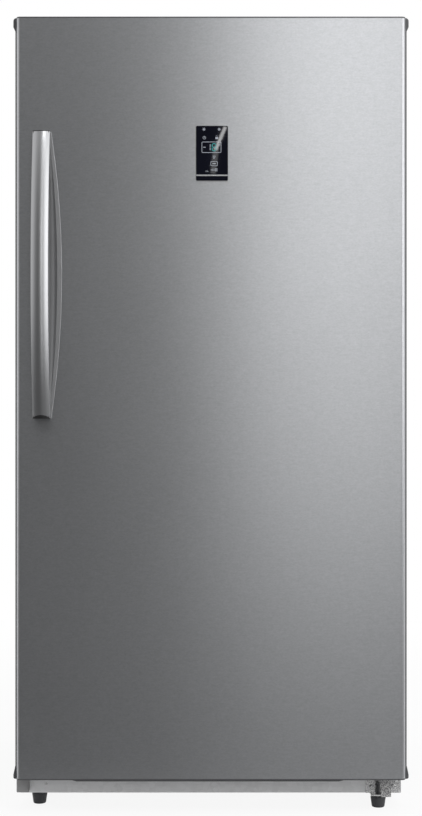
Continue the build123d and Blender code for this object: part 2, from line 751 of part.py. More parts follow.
def pipe(points, radius, bend):
    """Copper pipe along straight runs with equal bends."""
    with BuildLine() as route:
        FilletPolyline(*points, radius=bend)
    with BuildPart() as form:
        with BuildSketch(Plane(origin=route.line @ 0, z_dir=route.line % 0)):
            Circle(radius)
        sweep(path=route.line)
    return form.part


suction_run = bay_top - 20.0
discharge_run = bay_top - 8.0
tube_end = fan_y + condenser_length / 2
tube_start = fan_y - condenser_length / 2
drier_at = (condenser_x + 60, tube_start - 20)
suction = pipe([(evaporator_length / 2, suction_y, evaporator_low),
                (suction_x, suction_y, evaporator_low), (suction_x, suction_y, suction_run),
                (*suction_stub, suction_run), (*suction_stub, stub_top)], pipe_radius, 14)
discharge = pipe([(*discharge_stub, stub_top), (*discharge_stub, discharge_run),
                  (condenser_x, discharge_stub[1], discharge_run),
                  (condenser_x, tube_end + 20, discharge_run),
                  (condenser_x, tube_end + 20, condenser_high),
                  (condenser_x, tube_end, condenser_high)], 3.0, 12)
liquid = pipe([(condenser_x, tube_start, condenser_low), (condenser_x, drier_at[1], condenser_low),
               (drier_at[0], drier_at[1], condenser_low), (*drier_at, condenser_low + 30)], 3.0, 12)
with BuildPart() as filter_drier:
    with Locations((*drier_at, condenser_low + 30)):
        Cylinder(9, 70, align=(Align.CENTER, Align.CENTER, Align.MIN))
    chamfer(filter_drier.edges().filter_by(GeomType.CIRCLE), 5)
    with Locations((*drier_at, condenser_low + 95)):
        Cylinder(1.5, bay_top - condenser_low - 95, align=(Align.CENTER, Align.CENTER, Align.MIN))
keep(Compound(children=[suction, discharge, liquid, filter_drier.part]), "refrigerant_pipes")

# ------------------------------------------------------------------ back of the base
louvre_rows = 14
louvre_pitch = 14.0
cover_gap = 0.3
with BuildPart() as rear_cover:
    block((-half_in + cover_gap, y_back - sheet, base_height + 6),
          (half_in - cover_gap, y_back, bay_top - cover_gap))
    inlet_at = (-half_cab + 90.0, base_height + 60.0)
    with BuildSketch(Plane.XZ.offset(-y_back)):
        with Locations((0, base_height + 60 + louvre_rows * louvre_pitch / 2)):
            with GridLocations(92, louvre_pitch, 6, louvre_rows):
                SlotOverall(76, 5)
        with Locations(inlet_at):
            Circle(11)
    extrude(amount=5, both=True, mode=Mode.SUBTRACT)
keep(rear_cover.part, "rear_cover")

with BuildPart(Plane(origin=(inlet_at[0], y_back, inlet_at[1]), z_dir=(0, 1, 0))) as power_inlet:
    Cylinder(11 - fit, 2 * sheet + 6, align=(Align.CENTER, Align.CENTER, Align.CENTER))
    Cylinder(14, 3, align=(Align.CENTER, Align.CENTER, Align.MIN))
    Cone(9, 6.5, 12, align=(Align.CENTER, Align.CENTER, Align.MIN))
    Cylinder(4, 60, mode=Mode.SUBTRACT)
keep(power_inlet.part, "power_inlet")

with BuildPart() as control_box:
    block((half_in - 150, y_bay, 190), (half_in - 40, y_bay + 44, 290))
    fillet(control_box.edges().filter_by(Axis.Y), 6)
    fillet(control_box.faces().sort_by(Axis.Y)[-1].edges(), 3)
keep(control_box.part, "control_box")

spacer_radius = 16.0
with BuildPart() as rear_spacers:
    with BuildSketch(Plane.XZ.offset(-y_back)):
        with Locations((0, (bay_top + z_cab_top) / 2)):
            with GridLocations(2 * half_cab - 220, z_cab_top - bay_top - 260, 2, 2):
                Circle(spacer_radius)
    extrude(amount=-standoff, taper=12)
    fillet(rear_spacers.faces().filter_by(Axis.Y).group_by(Axis.Y)[-1].edges(), 3)
keep(rear_spacers.part, "rear_spacers")

# ------------------------------------------------------------------ inside the compartment
slots_rise = 46.0
slots_drop = 68.0
grille_z = z_step + 700.0
evaporator_fan_at = (0.0, y_cover + cover_thick + 14.0, grille_z)
evaporator_fan_radius = 52.0

with BuildPart() as evaporator_cover:
    block((-half_liner, y_cover, z_step), (half_liner, y_cover + cover_thick, z_ceiling))
    for side in (-1, 1):
        flange_x = side * (half_liner - cover_thick)
        edge_x = side * half_liner
        block((min(flange_x, edge_x), y_cover, z_step), (max(flange_x, edge_x), y_chamber, z_ceiling))
    add(cavity(-seat), mode=Mode.INTERSECT)
    with BuildSketch(Plane.XZ.offset(-y_cover)):
        # return slots at the bottom, outlet slots at the top, rings before the fan
        with Locations((0, z_step + slots_rise), (0, z_ceiling - slots_drop)):
            with GridLocations(84, 14, 7, 3):
                SlotOverall(70, 6)
        with Locations((0, grille_z)):
            for ring in (16, 28, 40):
                with PolarLocations(ring + 3, 3 * (ring // 8), start_angle=15):
                    Circle(3.2)
    extrude(amount=20, both=True, mode=Mode.SUBTRACT)
    fan_ring = Plane(origin=(0, y_cover + cover_thick, grille_z), z_dir=(0, 1, 0))
    with BuildSketch(fan_ring):
        Circle(evaporator_fan_radius + 6)
        Circle(evaporator_fan_radius + 3, mode=Mode.SUBTRACT)
    extrude(amount=26)
keep(evaporator_cover.part, "evaporator_cover")

evaporator_passes = 8
evaporator_pitch = 36.0
evaporator_deep = 48.0
along_x = Plane(origin=(0, evaporator_y, evaporator_low), x_dir=(-1, 0, 0), z_dir=(0, 1, 0))
evaporator_mid = evaporator_low + (evaporator_passes - 1) / 2 * evaporator_pitch
evaporator_fin_plane = Plane(origin=(0, evaporator_y, evaporator_mid), x_dir=(-1, 0, 0),
                             z_dir=(0, 1, 0))
evaporator_fins = fins(evaporator_fin_plane, 28, 15.0, evaporator_deep / 2, evaporator_deep / 2,
                       evaporator_passes * evaporator_pitch, evaporator_passes, evaporator_pitch)
# end plates that hold the coil off the liner's back
evaporator_ends = fins(evaporator_fin_plane, 2, evaporator_length - 16, evaporator_deep / 2,
                       y_chamber - evaporator_y, evaporator_passes * evaporator_pitch,
                       evaporator_passes, evaporator_pitch)
evaporator_tube = serpentine(along_x, evaporator_passes, evaporator_pitch, evaporator_length,
                             tube_radius)
keep(Compound(children=[evaporator_tube, *evaporator_fins.solids(), *evaporator_ends.solids()]),
     "evaporator")

# Heater rod bent up at both ends below the evaporator, in clips on the liner's back
heater_z = evaporator_low - 36.0
heater_half = evaporator_length / 2
heater = pipe([(-heater_half, y_chamber - 8, heater_z + 26), (-heater_half, y_chamber - 8, heater_z),
               (heater_half, y_chamber - 8, heater_z), (heater_half, y_chamber - 8, heater_z + 26)],
              3.5, 10)
with BuildPart() as heater_clips:
    with Locations((-heater_half / 2, y_chamber - 8, heater_z), (heater_half / 2, y_chamber - 8, heater_z)):
        Box(10, 16, 16)
keep(heater + heater_clips.part, "defrost_heater")

fan_axis = Plane(origin=evaporator_fan_at, x_dir=(1, 0, 0), z_dir=(0, 1, 0))
keep(propeller(fan_axis, evaporator_fan_radius, 12, 14, 5, shaft_radius + pin_fit), "evaporator_fan")

with BuildPart(fan_axis) as evaporator_fan_motor:
    with Locations((0, 0, 18)):
        Cylinder(20, y_chamber - evaporator_fan_at[1] - 18, align=(Align.CENTER, Align.CENTER, Align.MIN))
    Cylinder(shaft_radius, 22, align=(Align.CENTER, Align.CENTER, Align.MIN))
keep(evaporator_fan_motor.part, "evaporator_fan_motor")

light_width = 160.0
light_deep = 46.0
light_high = 9.0
light_y = y_cab + 90.0
with BuildPart() as interior_light:
    block((-light_width / 2, light_y, z_ceiling - light_high),
          (light_width / 2, light_y + light_deep, z_ceiling))
    fillet(interior_light.edges().filter_by(Axis.Z), 10)
    fillet(interior_light.faces().sort_by(Axis.Z)[0].edges(), 4)
keep(interior_light.part, "interior_light")

frame_half = half_liner - shelf_gap
shelf_back = y_cover - 8.0
for number, top in enumerate(shelf_tops, start=1):
    ledge = frame_width - glass_ledge
    with BuildPart() as shelf_frame:
        block((-frame_half, y_shelf, top - shelf_thick), (frame_half, shelf_back, top))
        fillet(shelf_frame.edges().filter_by(Axis.Z), 6)
        fillet(shelf_frame.faces().sort_by(Axis.Y)[0].edges(), 3)
        block((-frame_half + frame_width, y_shelf + frame_width, top - 99),
              (frame_half - frame_width, shelf_back - frame_width, top + 9), Mode.SUBTRACT)
        block((-frame_half + ledge, y_shelf + ledge, top - glass_thick),
              (frame_half - ledge, shelf_back - ledge, top + 9), Mode.SUBTRACT)
    keep(shelf_frame.part, f"shelf_frame_{number}")
    with BuildPart() as shelf_glass:
        block((-frame_half + ledge + fit, y_shelf + ledge + fit, top - glass_thick),
              (frame_half - ledge - fit, shelf_back - ledge - fit, top))
    keep(shelf_glass.part, f"shelf_glass_{number}")

lip_high = 30.0
lip_reach = 16.0
grip_half = 90.0
grip_high = 26.0
drawer_corner = 8.0
drawer_edge = 6.0
rim_gap = 12.0               # drawer tops and backs to what stands beyond them


def drawer(low, high, back, name):
    """Open-topped drawer with a finger lip along its front."""
    front = y_cab + drawer_setback
    with BuildPart() as form:
        block((-half_drawer, front, low), (half_drawer, back, high))
        fillet(form.edges().filter_by(Axis.Z), drawer_corner)
        fillet(form.faces().sort_by(Axis.Z)[0].edges(), drawer_edge)
        offset(amount=-drawer_wall, openings=form.faces().sort_by(Axis.Z)[-1])
        # recess under the lip, pressed into the front wall
        grip_top, grip_low = high - lip_high, high - lip_high - grip_high
        block((-grip_half, front - 9, grip_low), (grip_half, front + lip_reach, grip_top))
        block((-grip_half + drawer_wall, front - 9, grip_low + drawer_wall),
              (grip_half - drawer_wall, front + lip_reach - drawer_wall, grip_top - drawer_wall),
              Mode.SUBTRACT)
        block((-grip_half - 9, front - 19, grip_low - 9), (grip_half + 9, front, grip_top + 9),
              Mode.SUBTRACT)
    keep(form.part, name)


drawer(z_floor + drawer_clear, z_step - rim_gap, y_step - rim_gap, "drawer_lower")
drawer(drawer_parting + drawer_clear, shelf_low - shelf_thick - rim_gap / 2, y_cover - rim_gap,
       "drawer_upper")

# ------------------------------------------------------------------ door
cup_half = sqrt((cup_axis + cup_depth) ** 2 - cup_axis ** 2)
x_panel = -half_skin + panel_from_left
z_panel = z_door + panel_low
y_panel = y_face - panel_proud
body_margin = 0.75
hole_margin = body_margin - fit


def scoop(grow=0.0):
    """Upright spindle that hollows the grip cup, its axis in front of the door face."""
    tip, high = cup_axis + grow, cup_half_height + grow
    middle = cup_axis + cup_depth + grow
    with BuildPart() as form:
        with BuildSketch(Plane(origin=(x_cup, y_face - cup_axis, z_handle_mid),
                               x_dir=(1, 0, 0), z_dir=(0, -1, 0))):
            with BuildLine():
                Polyline((tip, high), (0, high), (0, -high), (tip, -high))
                ThreePointArc((tip, -high), (middle, 0), (tip, high))
            make_face()
        revolve(axis=Axis((x_cup, y_face - cup_axis, 0), (0, 0, 1)))
    return form.part


with BuildPart() as rim_plate:
    with BuildSketch(Plane(origin=(x_cup, y_face, z_handle_mid), x_dir=(1, 0, 0), z_dir=(0, -1, 0))):
        with BuildLine():
            high, end, middle = handle_length / 2, cup_rim_end, cup_half + cup_rim
            ThreePointArc((end, -high), (middle, 0), (end, high))
            Line((end, high), (-end, high))
            ThreePointArc((-end, high), (-middle, 0), (-end, -high))
            Line((-end, -high), (end, -high))
        make_face()
    extrude(amount=cup_rim_high)

with BuildPart() as grip_cup:
    add(scoop(cup_wall))
    block((x_cup - 99, y_face - 99, 0), (x_cup + 99, y_face, z_door_top), Mode.SUBTRACT)
    add(rim_plate.part)
    fillet(grip_cup.faces().sort_by(Axis.Y)[0].edges(), 0.6)
    add(scoop(), mode=Mode.SUBTRACT)
keep(grip_cup.part, "grip_cup")

with BuildPart() as panel_body:
    with BuildSketch(Plane.XZ.offset(-y_face)):
        with Locations((x_panel, z_panel)):
            RectangleRounded(panel_width - 2 * body_margin, panel_height - 2 * body_margin,
                             panel_corner - body_margin)
    extrude(amount=-panel_deep)

with BuildPart() as panel_hole:
    with BuildSketch(Plane.XZ.offset(-y_face)):
        with Locations((x_panel, z_panel)):
            RectangleRounded(panel_width - 2 * hole_margin, panel_height - 2 * hole_margin,
                             panel_corner - hole_margin)
    extrude(amount=-panel_deep - fit)

glass_width = panel_width - 2 * panel_rim - 2 * fit
glass_height = panel_height - 2 * panel_rim - 2 * fit
with BuildPart() as control_panel_housing:
    add(panel_body.part)
    with BuildSketch(Plane.XZ.offset(-y_face)):
        with Locations((x_panel, z_panel)):
            RectangleRounded(panel_width, panel_height, panel_corner)
    extrude(amount=panel_proud)
    fillet(control_panel_housing.faces().sort_by(Axis.Y)[0].edges(), 0.4)
    with BuildSketch(Plane.XZ.offset(-y_panel)):
        with Locations((x_panel, z_panel)):
            RectangleRounded(glass_width + 2 * fit, glass_height + 2 * fit,
                             panel_corner - panel_rim)
    extrude(amount=-panel_glass - fit, mode=Mode.SUBTRACT)
    # room for the display board behind the glass
    with BuildSketch(Plane.XZ.offset(-y_panel)):
        with Locations((x_panel, z_panel)):
            RectangleRounded(glass_width - 2 * glass_seat, glass_height - 2 * glass_seat,
                             panel_corner / 2)
    extrude(amount=-panel_deep + panel_floor, mode=Mode.SUBTRACT)
keep(control_panel_housing.part, "control_panel_housing")

with BuildPart() as control_panel_glass:
    with BuildSketch(Plane.XZ.offset(-y_panel - fit)):
        with Locations((x_panel, z_panel)):
            RectangleRounded(glass_width, glass_height, panel_corner - panel_rim - fit)
    extrude(amount=-panel_glass)
keep(control_panel_glass.part, "control_panel_glass")

with BuildPart() as door_skin:
    add(slab(half_skin, y_face, y_face + skin_return, z_skin, z_skin_top, skin_corner))
    add(slab(half_core, y_face + sheet, y_face + skin_return + 1, z_skin, z_skin_top,
             skin_corner - sheet), mode=Mode.SUBTRACT)
    add(panel_hole.part, mode=Mode.SUBTRACT)
    add(scoop(cup_wall + fit), mode=Mode.SUBTRACT)
keep(door_skin.part, "door_skin")


def ring(plane, half, low, high, width, deep):
    """Rectangular ring across the door, extruded towards the cabinet."""
    with BuildPart() as form:
        with BuildSketch(plane):
            with Locations((0, (low + high) / 2)):
                Rectangle(2 * half, high - low)
                Rectangle(2 * (half - width), high - low - 2 * width, mode=Mode.SUBTRACT)
        extrude(amount=-deep)
    return form.part


dike_low = z_floor + half_liner - half_dike
dike_high = z_ceiling - half_liner + half_dike


def dike(grow=0.0):
    """Inner panel's ridge that stands into the compartment, with rounded crest."""
    plane = Plane.XZ.offset(-y_door_back + liner_wall)
    with BuildPart() as form:
        add(ring(plane, half_dike + grow, dike_low - grow, dike_high + grow, dike_width + 2 * grow,
                 y_dike - y_door_back + liner_wall + grow))
        fillet(form.faces().sort_by(Axis.Y)[-1].edges(), dike_round + grow)
    return form.part


bin_floors = [top + bin_rise for top in shelf_tops]
half_bin = half_dike - dike_width - 1.5
bush_lower = (x_hinge, y_hinge, z_door)
bush_upper = (x_hinge, y_hinge, z_door_top)
with BuildPart() as bush_bores:
    with Locations(bush_lower):
        Cylinder(bush_radius + fit, bush_length, align=(Align.CENTER, Align.CENTER, Align.MIN))
    with Locations(bush_upper):
        Cylinder(bush_radius + fit, bush_length, align=(Align.CENTER, Align.CENTER, Align.MAX))

with BuildPart() as door_foam:
    add(slab(half_core, y_face + sheet, y_door_back - liner_wall, z_skin, z_skin_top,
             skin_corner - sheet))
    add(dike(-liner_wall))
    add(panel_hole.part, mode=Mode.SUBTRACT)
    add(scoop(cup_wall), mode=Mode.SUBTRACT)
    add(bush_bores.part, mode=Mode.SUBTRACT)
keep(door_foam.part, "door_foam")

with BuildPart() as door_liner:
    block((-half_core, y_door_back - liner_wall, z_skin), (half_core, y_door_back, z_skin_top))
    add(dike())
    add(dike(-liner_wall), mode=Mode.SUBTRACT)
    for floor in bin_floors:
        for side in (-1, 1):
            lug_x = side * (half_bin - lug)
            root_x = side * (half_dike - dike_width + 1)
            block((min(lug_x, root_x), y_door_back - 1, floor - lug_high),
                  (max(lug_x, root_x), y_dike - lug_setback, floor))
keep(door_liner.part, "door_liner")

with BuildPart() as door_gasket:
    middle = half_gasket + gasket_width / 2
    low, high = z_gasket - gasket_width / 2, z_gasket_top + gasket_width / 2
    # foot in the panel, bellows, and the magnet's wide head
    for start, end, width in ((0, 3, 16), (3, 9, 7), (9, gasket_gap - seat, gasket_width)):
        plane = Plane.XZ.offset(-y_door_back - start)
        add(ring(plane, middle + width / 2, low - width / 2, high + width / 2, width, end - start))
keep(door_gasket.part, "door_gasket")

trim_low = z_door + cap_skirt
trim_high = z_door_top - cap_skirt
y_return = y_face + skin_return
with BuildPart() as door_side_trims:
    for side in (-1, 1):
        with BuildSketch(Plane.XY.offset(trim_low)):
            with BuildLine():
                Polyline((side * half_core, y_return), (side * half_skin, y_return),
                         (side * half_skin, y_return - trim_lap),
                         (side * (half_trim - trim_bevel), y_return - trim_lap),
                         (side * half_trim, y_return - trim_lap + trim_bevel),
                         (side * half_trim, y_door_back),
                         (side * half_core, y_door_back), close=True)
            make_face()
        extrude(amount=trim_high - trim_low)
keep(door_side_trims.part, "door_side_trims")


def end_cap(edge, inward, knee, corner_round, name):
    """Plastic cap over one end of the door, with an ear past each side trim."""
    with BuildPart() as form:
        low, high = sorted((edge, edge + inward * cap_edge))
        add(slab(half_skin, y_face, y_door_back, low, high, skin_corner))
        for side in (-1, 1):
            with BuildSketch(Plane.XZ.offset(-y_door_back)):
                with BuildLine():
                    Polyline((side * half_skin, edge + inward * cap_skirt),
                             (side * half_trim, edge + inward * cap_skirt),
                             (side * half_ear, edge + inward * knee),
                             (side * half_ear, edge), (side * half_skin, edge), close=True)
                make_face()
                corner = vertices().sort_by(lambda v: -abs(v.X) + abs(v.Y - edge) / 9)[0]
                fillet(corner, corner_round)
            extrude(amount=y_door_back - y_face - cap_setback)
            core, skin = sorted((side * half_core, side * half_skin))
            near, far = sorted((edge, edge + inward * cap_skirt))
            block((core, y_return, near), (skin, y_door_back, far))
        add(bush_bores.part, mode=Mode.SUBTRACT)
        if inward > 0:
            # ridge under the lower cap
            with BuildSketch(Plane.XZ.offset(-y_face - ridge_setback)):
                with BuildLine():
                    left, right = -half_skin + ridge_left, half_skin - ridge_right
                    Polyline((left - ridge_ramp, edge), (left, edge - ridge_drop),
                             (right, edge - ridge_drop), (right + ridge_ramp, edge), close=True)
                make_face()
            extrude(amount=-ridge_deep)
    keep(form.part, name)


end_cap(z_door_top, -1, knee_top, knee_round_top, "door_end_cap_top")
end_cap(z_door, 1, knee_low, knee_round_low, "door_end_cap_bottom")

for number, floor in enumerate(bin_floors, start=1):
    with BuildPart() as door_bin:
        block((-half_bin, y_door_back + seat, floor), (half_bin, y_door_back + bin_reach, floor + bin_high))
        corners = door_bin.edges().filter_by(Axis.Z).group_by(Axis.Y)
        fillet(corners[-1], bin_corner)
        fillet(door_bin.edges().filter_by(Axis.Z).group_by(Axis.Y)[0], bin_heel)
        fillet(door_bin.faces().sort_by(Axis.Z)[0].edges(), bin_edge)
        offset(amount=-bin_wall, openings=door_bin.faces().sort_by(Axis.Z)[-1])
    keep(door_bin.part, f"door_bin_{number}")

bush_bore = pin_radius + pin_fit
with BuildPart() as hinge_bushes:
    with Locations(bush_lower):
        Cylinder(bush_radius, bush_length, align=(Align.CENTER, Align.CENTER, Align.MIN))
        Cylinder(bush_flange, lower_arm_gap - seat, align=(Align.CENTER, Align.CENTER, Align.MAX))
    with Locations(bush_upper):
        Cylinder(bush_radius, bush_length, align=(Align.CENTER, Align.CENTER, Align.MAX))
        Cylinder(bush_flange, upper_arm_gap - seat, align=(Align.CENTER, Align.CENTER, Align.MIN))
    with Locations(bush_lower, bush_upper):
        Cylinder(bush_bore, 99, mode=Mode.SUBTRACT)
keep(hinge_bushes.part, "hinge_bushes")

# ------------------------------------------------------------------ handle
y_bar_end = y_face - bar_end_reach + bar_thick
y_bar_mid = y_face - handle_reach + bar_thick
bow = y_bar_end - y_bar_mid
bow_radius = ((handle_length / 2) ** 2 + bow ** 2) / (2 * bow)
bow_angle = degrees(asin(handle_length / 2 / bow_radius))

bow_centre = (x_handle, y_bar_mid + bow_radius, z_handle_mid)
bow_start = radians(bow_angle + 2)
with BuildPart() as bowed_bar:
    with BuildSketch(Plane(origin=bow_centre, x_dir=(1, 0, 0),
                           z_dir=(0, sin(bow_start), -cos(bow_start)))):
        with BuildLine():
            half, back = bar_width / 2, bow_radius
            Polyline((-half, back + bar_side), (-half, back), (half, back), (half, back + bar_side))
            ThreePointArc((half, back + bar_side), (0, back + bar_thick), (-half, back + bar_side))
        make_face()
        fillet(vertices().sort_by(Axis.Y)[2:], bar_round)
        chamfer(vertices().sort_by(Axis.Y)[:2], bar_chamfer)
    revolve(axis=Axis(bow_centre, (-1, 0, 0)), revolution_arc=2 * (bow_angle + 2))
    block((x_handle - bar_width, y_face - handle_reach - bar_thick, z_handle),
          (x_handle + bar_width, y_face, z_handle + handle_length), Mode.INTERSECT)

cut_reach = 30.0
y_edge = y_bar_end - bar_side
with BuildPart() as end_cuts:
    for end, inward, slope in ((z_handle, 1, end_slope_low),
                               (z_handle + handle_length, -1, end_slope_top)):
        plate = end + inward * cap_plate
        with BuildSketch(Plane.YZ.offset(x_handle)):
            with BuildLine():
                Polyline((y_face, end - inward * cut_reach), (y_face, plate), (y_edge, plate),
                         (y_edge - cut_reach, plate + inward * slope * cut_reach),
                         (y_edge - cut_reach, end - inward * cut_reach), close=True)
            make_face()
        extrude(amount=bar_width, both=True)

with BuildPart() as handle_bar:
    add(bowed_bar.part)
    add(end_cuts.part, mode=Mode.SUBTRACT)
keep(handle_bar.part, "handle_bar")

with BuildPart() as handle_posts:
    post_half = bar_width / 2 - post_inset
    block((x_handle - post_half, y_bar_end - post_lap, z_handle),
          (x_handle + post_half, y_face, z_handle + post_height))
    mirror(about=Plane.XY.offset(z_handle_mid))
    fillet(handle_posts.edges().filter_by(Axis.Y), post_round)
    add(bowed_bar.part, mode=Mode.SUBTRACT)
    add(rim_plate.part, mode=Mode.SUBTRACT)

with BuildPart() as handle_mounts:
    add(bowed_bar.part)
    add(end_cuts.part, mode=Mode.INTERSECT)
    add(handle_posts.part)
keep(handle_mounts.part, "handle_mounts")
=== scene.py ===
import json
import math
import bmesh
import bpy
from mathutils import Matrix, Vector


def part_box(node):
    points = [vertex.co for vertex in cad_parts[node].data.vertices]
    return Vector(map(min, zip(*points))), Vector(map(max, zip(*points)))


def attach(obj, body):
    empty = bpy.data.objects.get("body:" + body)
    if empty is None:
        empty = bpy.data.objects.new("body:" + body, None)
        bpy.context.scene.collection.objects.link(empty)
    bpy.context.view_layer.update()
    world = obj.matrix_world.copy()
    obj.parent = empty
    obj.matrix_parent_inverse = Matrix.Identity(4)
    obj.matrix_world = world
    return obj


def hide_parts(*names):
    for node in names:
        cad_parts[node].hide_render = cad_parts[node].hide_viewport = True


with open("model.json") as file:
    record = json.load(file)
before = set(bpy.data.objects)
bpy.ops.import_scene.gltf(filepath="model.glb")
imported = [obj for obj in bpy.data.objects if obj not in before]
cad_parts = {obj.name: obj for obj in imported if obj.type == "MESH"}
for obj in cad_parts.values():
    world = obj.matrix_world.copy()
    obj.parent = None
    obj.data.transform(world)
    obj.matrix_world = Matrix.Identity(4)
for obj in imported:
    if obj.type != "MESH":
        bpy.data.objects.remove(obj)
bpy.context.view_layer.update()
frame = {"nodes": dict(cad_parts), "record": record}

# Upright freezer: finishes, small moulded and printed details, room, lights and camera. Metres.
MM = 0.001
node_slots = {part["node"]: part["material_slot"] for part in frame["record"]["subparts"]}
node_bodies = {node: body for body, nodes in frame["record"]["behaviour"]["bodies"].items()
               for node in nodes}


# ---------------------------------------------------------------- shader writing
class Signal:
    """The value on a shader socket; an expression on signals adds its Math nodes."""

    def __init__(self, tree, socket):
        self.tree, self.socket = tree, socket

    def math(self, operation, *terms):
        return self.tree.node("ShaderNodeMath", {"operation": operation}, dict(enumerate(terms)))

    def __add__(self, other):
        return self.math("ADD", self, other)

    def __sub__(self, other):
        return self.math("SUBTRACT", self, other)

    def __rsub__(self, other):
        return self.math("SUBTRACT", other, self)

    def __mul__(self, other):
        return self.math("MULTIPLY", self, other)

    __radd__ = __add__

    def step(self, low, high):
        """Smooth 0 to 1 between two levels, which may run downwards."""
        return self.tree.node("ShaderNodeMapRange", {"interpolation_type": "SMOOTHSTEP"},
                              {"Value": self, "From Min": low, "From Max": high})


class Tree:
    """A node tree with the calls that this object's finishes are written with."""

    def __init__(self, node_tree):
        self.nodes, self.links = node_tree.nodes, node_tree.links

    def put(self, socket, value):
        """A number, a colour or a signal on a socket."""
        if isinstance(value, Signal):
            self.links.new(value.socket, socket)
        elif isinstance(value, tuple) and socket.type == "RGBA" and len(value) == 3:
            socket.default_value = (*value, 1)
        else:
            socket.default_value = value

    def node(self, kind, settings=None, sockets=None, output=0):
        """A node with its settings and sockets set; the signal of one of its outputs."""
        made = self.nodes.new(kind)
        for name, value in (settings or {}).items():
            setattr(made, name, value)
        for name, value in (sockets or {}).items():
            self.put(made.inputs[name], value)
        return Signal(self, made.outputs[output])

    def split(self, vector):
        """The three parts of a vector."""
        parts = self.node("ShaderNodeSeparateXYZ", {}, {"Vector": vector})
        return [Signal(self, socket) for socket in parts.socket.node.outputs]

    def here(self, stretch=(1, 1, 1), turn=(0, 0, 0)):
        """Object coordinates, stretched and turned."""
        place = self.node("ShaderNodeTexCoord", output="Object")
        return self.node("ShaderNodeMapping", {},
                         {"Vector": place, "Scale": stretch, "Rotation": turn})

    def noise(self, size, stretch=(1, 1, 1), detail=2.0, rough=0.5):
        """Cloudy pattern from 0 to 1 whose features are about size metres across."""
        return self.node("ShaderNodeTexNoise", {}, {
            "Vector": self.here(stretch), "Scale": 1 / size, "Detail": detail, "Roughness": rough})

    def cells(self, size, stretch=(1, 1, 1), feature="F1", output="Distance"):
        """Cell pattern, for grain, spangle and pebbled plastic."""
        return self.node("ShaderNodeTexVoronoi", {"feature": feature}, {
            "Vector": self.here(stretch), "Scale": 1 / size}, output)

    def rays(self):
        """Is this seen by the camera; is it seen by way of metal or glass."""
        eye, shine, through = (self.node("ShaderNodeLightPath", output=f"Is {kind} Ray")
                               for kind in ("Camera", "Glossy", "Transmission"))
        return eye, shine + through

    def blend(self, factor, low, high):
        """Colour between two colours."""
        return self.node("ShaderNodeMix", {"data_type": "RGBA"},
                         {"Factor": factor, 6: low, 7: high}, output=2)


class Finish(Tree):
    """Principled material; constants go on its own sockets."""

    def __init__(self, name, colour, roughness, metallic=0.0, **constants):
        self.material = bpy.data.materials.new(name)
        self.material.use_nodes = True
        super().__init__(self.material.node_tree)
        self.shader = self.nodes["Principled BSDF"]
        self.colour, self.level = colour, roughness
        self.put(self.shader.inputs["Base Color"], colour)
        self.put(self.shader.inputs["Roughness"], roughness)
        self.put(self.shader.inputs["Metallic"], metallic)
        for name, value in constants.items():
            socket = name.replace("_", " ").title().replace("Ior", "IOR")
            self.put(self.shader.inputs[socket], value)

    def tint(self, pattern, low=0.92, high=1.08):
        """Vary the colour's brightness over a pattern from 0 to 1."""
        dark = tuple(min(c * low, 1) for c in self.colour)
        light = tuple(min(c * high, 1) for c in self.colour)
        self.put(self.shader.inputs["Base Color"], self.blend(pattern, dark, light))

    def wear(self, pattern, spread=0.1):
        """Vary the roughness around its level over a pattern from 0 to 1."""
        self.put(self.shader.inputs["Roughness"], (pattern - 0.5) * (2 * spread) + self.level)

    def relief(self, height, depth, strength=1.0):
        """Bump of a pattern from 0 to 1, depth in metres."""
        self.put(self.shader.inputs["Normal"], self.node("ShaderNodeBump", {}, {
            "Height": height, "Distance": depth, "Strength": strength}))


# ---------------------------------------------------------------- finishes
def door_steel():
    """Fine-grained stainless: short level hairlines over a soft cloudiness."""
    steel = Finish("door_steel", (0.45, 0.458, 0.472), 0.33, 1.0, Anisotropic=0.72,
                   Anisotropic_Rotation=0.25)
    hairline = steel.noise(1.6 * MM, (0.12, 1, 1.7), 3, 0.6)
    speckle = steel.noise(2.6 * MM, (0.6, 1, 1), 2)
    cloud = steel.noise(160 * MM, (1, 1, 0.5), 2)
    drift = steel.noise(7 * MM, (0.45, 1, 1.3), 2)
    steel.tint(hairline * 0.3 + speckle * 0.45 + drift * 0.25, 0.7, 1.3)
    steel.wear(hairline * 0.7 + cloud * 0.3, 0.05)
    steel.relief(hairline * 0.6 + speckle * 0.4, 0.03 * MM, 0.35)
    return steel.material


def handle_steel():
    """Satin bar, its polishing lines along its length."""
    steel = Finish("handle_steel", (0.4, 0.404, 0.413), 0.33, 1.0)
    line = steel.noise(0.9 * MM, (1.4, 1.4, 0.03), 3, 0.6)
    cloud = steel.noise(50 * MM, (1, 1, 0.4), 2)
    steel.tint(line, 0.93, 1.07)
    steel.wear(line * 0.5 + cloud * 0.5, 0.05)
    steel.relief(line, 0.02 * MM, 0.3)
    return steel.material


def shell_paint():
    """Grey paint over steel with a leather-like grain."""
    paint = Finish("shell_paint", (0.3, 0.303, 0.31), 0.42)
    pebble = paint.cells(2.4 * MM, (1, 1, 1), "SMOOTH_F1")
    cloud = paint.noise(220 * MM)
    paint.tint(cloud, 0.95, 1.05)
    paint.wear(pebble, 0.08)
    paint.relief(pebble + paint.noise(1.1 * MM) * 0.4, 0.12 * MM, 0.5)
    return paint.material


